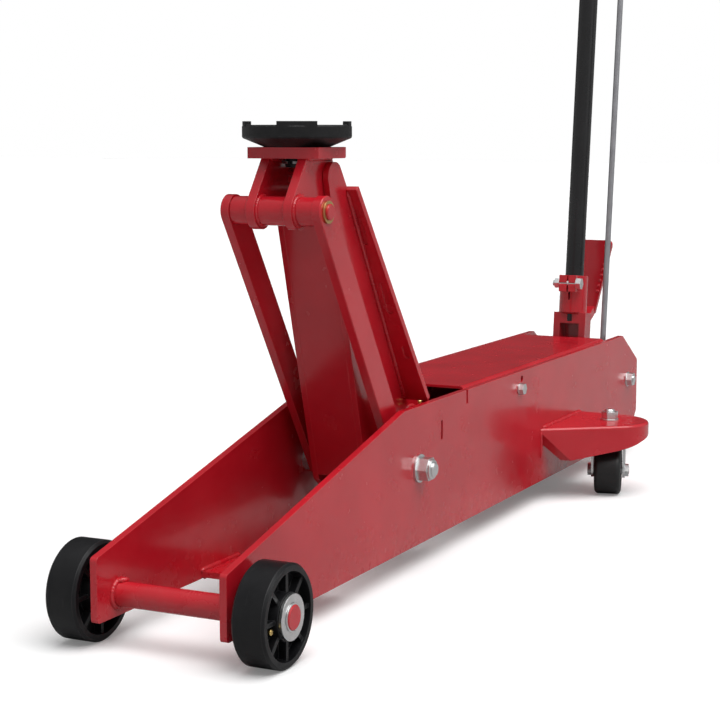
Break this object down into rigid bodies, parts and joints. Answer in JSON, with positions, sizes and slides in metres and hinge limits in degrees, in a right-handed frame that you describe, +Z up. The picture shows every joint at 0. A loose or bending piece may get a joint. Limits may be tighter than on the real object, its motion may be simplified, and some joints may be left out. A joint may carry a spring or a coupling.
{
  "type": "hydraulic floor jack",
  "caption": "Long-chassis wheeled hydraulic floor jack: levelled saddle on a lifting arm, hand pump handle, foot pedal, twist release rod, front wheels and rear casters.",
  "frame": {"origin": "middle of the footprint on the floor", "axes": "+X towards the lifting end, +Y left, +Z up; drawn fully raised with the handle upright"},
  "size_m": [1.5331, 0.452, 1.1713],
  "materials": {
    "red_paint": "gloss enamel",
    "cast_black": "black paint on rough casting",
    "black_paint": "satin",
    "zinc_plate": "bright zinc plating",
    "ground_steel": "ground and hard chromed",
    "dark_steel": "machined, lightly oiled",
    "bronze": "machined bearing bronze",
    "rubber": "matt",
    "nylon": "matt black nylon",
    "seal": "matt polyurethane"
  },
  "bodies": {
    "frame": {"side_plate_left": "red_paint", "side_plate_right": "red_paint", "front_axle": "red_paint", "cross_plates": "red_paint", "cover_plate": "red_paint", "cover_bolts": "zinc_plate", "rear_tie_rod": "zinc_plate", "main_shaft": "dark_steel", "link_bolts": "zinc_plate", "link_nuts": "zinc_plate", "front_bushes": "bronze", "wheel_retainers": "zinc_plate", "caster_wings": "red_paint", "caster_kingpins": "zinc_plate", "cylinder_tube": "dark_steel", "reservoir_tube": "red_paint", "cylinder_cap": "red_paint", "wiper_seal": "seal", "valve_body": "cast_black", "unit_bolts": "zinc_plate", "filler_plug": "zinc_plate", "pump_gland_nut": "zinc_plate", "handle_pivot_pin": "dark_steel", "plunger_spring": "dark_steel"},
    "lifting_arm": {"arm_side_plates": "red_paint", "arm_hub_tube": "red_paint", "arm_back_plate": "red_paint", "arm_front_plate": "red_paint", "crank_push_bar": "dark_steel", "head_pin": "red_paint"},
    "levelling_links": {"levelling_links": "red_paint"},
    "saddle_bracket": {"bracket_table": "red_paint", "bracket_ears": "red_paint", "bracket_pin_tube": "red_paint", "link_pin": "red_paint", "link_pin_washers": "bronze"},
    "saddle": {"saddle": "cast_black", "saddle_ring": "dark_steel"},
    "ram": {"ram": "ground_steel", "ram_pad": "dark_steel"},
    "pump_plunger": {"pump_plunger": "ground_steel"},
    "handle": {"handle_yoke": "red_paint", "clamp_bolt": "zinc_plate", "handle_tube": "black_paint", "handle_grip": "rubber", "rod_guide": "red_paint", "pedal_pin": "zinc_plate"},
    "foot_pedal": {"foot_pedal": "red_paint"},
    "release_rod": {"release_rod": "zinc_plate", "release_knob": "nylon"},
    "release_spindle": {"release_spindle": "dark_steel"},
    "front_wheel_left": {"front_wheel_left": "cast_black"},
    "front_wheel_right": {"front_wheel_right": "cast_black"},
    "caster_left": {"caster_fork_left": "zinc_plate", "caster_axle_left": "zinc_plate"},
    "caster_right": {"caster_fork_right": "zinc_plate", "caster_axle_right": "zinc_plate"},
    "caster_wheel_left": {"caster_wheel_left": "nylon"},
    "caster_wheel_right": {"caster_wheel_right": "nylon"}
  },
  "joints": [
    {"name": "arm_lift", "type": "hinge", "parent": "frame", "child": "lifting_arm", "pos_m": [0.1585, 0, 0.1805], "axis": [0, -1, 0], "range_deg": [-67.7, 0]},
    {"name": "link_swing", "type": "hinge", "parent": "frame", "child": "levelling_links", "pos_m": [0.2365, 0, 0.14], "axis": [0, -1, 0], "range_deg": [-68, 0.5]},
    {"name": "bracket_level", "type": "hinge", "parent": "lifting_arm", "child": "saddle_bracket", "pos_m": [0.38943, 0, 0.5361], "axis": [0, -1, 0], "range_deg": [-0.5, 68]},
    {"name": "saddle_swivel", "type": "hinge", "parent": "saddle_bracket", "child": "saddle", "pos_m": [0.41443, 0, 0.5736], "axis": [0, 0, 1], "continuous": true},
    {"name": "ram_slide", "type": "slide", "parent": "frame", "child": "ram", "axis": [1, 0, 0], "range_m": [-0.1135, 0.0005]},
    {"name": "handle_pump", "type": "hinge", "parent": "frame", "child": "handle", "pos_m": [-0.6425, 0, 0.2], "axis": [0, -1, 0], "range_deg": [0, 55]},
    {"name": "plunger_slide", "type": "slide", "parent": "frame", "child": "pump_plunger", "axis": [1, 0, 0], "range_m": [0, 0.03], "deforming": ["plunger_spring"]},
    {"name": "pedal_press", "type": "hinge", "parent": "handle", "child": "foot_pedal", "pos_m": [-0.68425, 0, 0.25186], "axis": [0, -1, 0], "range_deg": [0, 15]},
    {"name": "release_twist", "type": "hinge", "parent": "handle", "child": "release_rod", "pos_m": [-0.6425, 0.06, 0.2], "axis": [-0.1063, 0, 0.9943], "range_deg": [0, 180]},
    {"name": "valve_turn", "type": "hinge", "parent": "frame", "child": "release_spindle", "pos_m": [-0.6425, 0.06, 0.2], "axis": [-0.5878, 0, 0.809], "range_deg": [0, 180]},
    {"name": "front_wheel_left_spin", "type": "hinge", "parent": "frame", "child": "front_wheel_left", "pos_m": [0.7065, 0.12325, 0.06], "axis": [0, 1, 0], "continuous": true},
    {"name": "front_wheel_right_spin", "type": "hinge", "parent": "frame", "child": "front_wheel_right", "pos_m": [0.7065, -0.12325, 0.06], "axis": [0, 1, 0], "continuous": true},
    {"name": "caster_left_swivel", "type": "hinge", "parent": "frame", "child": "caster_left", "pos_m": [-0.3745, 0.162, 0.108], "axis": [0, 0, 1], "continuous": true},
    {"name": "caster_right_swivel", "type": "hinge", "parent": "frame", "child": "caster_right", "pos_m": [-0.3745, -0.162, 0.108], "axis": [0, 0, 1], "continuous": true},
    {"name": "caster_wheel_left_spin", "type": "hinge", "parent": "caster_left", "child": "caster_wheel_left", "pos_m": [-0.35711, 0.16666, 0.04], "axis": [-0.2588, 0.9659, 0], "continuous": true},
    {"name": "caster_wheel_right_spin", "type": "hinge", "parent": "caster_right", "child": "caster_wheel_right", "pos_m": [-0.35711, -0.16666, 0.04], "axis": [0.2588, 0.9659, 0], "continuous": true}
  ],
  "couplings": [
    {"joint": "link_swing", "follows": "arm_lift", "ratio": 1},
    {"joint": "bracket_level", "follows": "arm_lift", "ratio": -1},
    {"joint": "ram_slide", "follows": "arm_lift", "m_per_rad": 0.0956},
    {"joint": "plunger_slide", "follows": "handle_pump", "m_per_rad": 0.031},
    {"joint": "valve_turn", "follows": "release_twist", "ratio": 1}
  ]
}
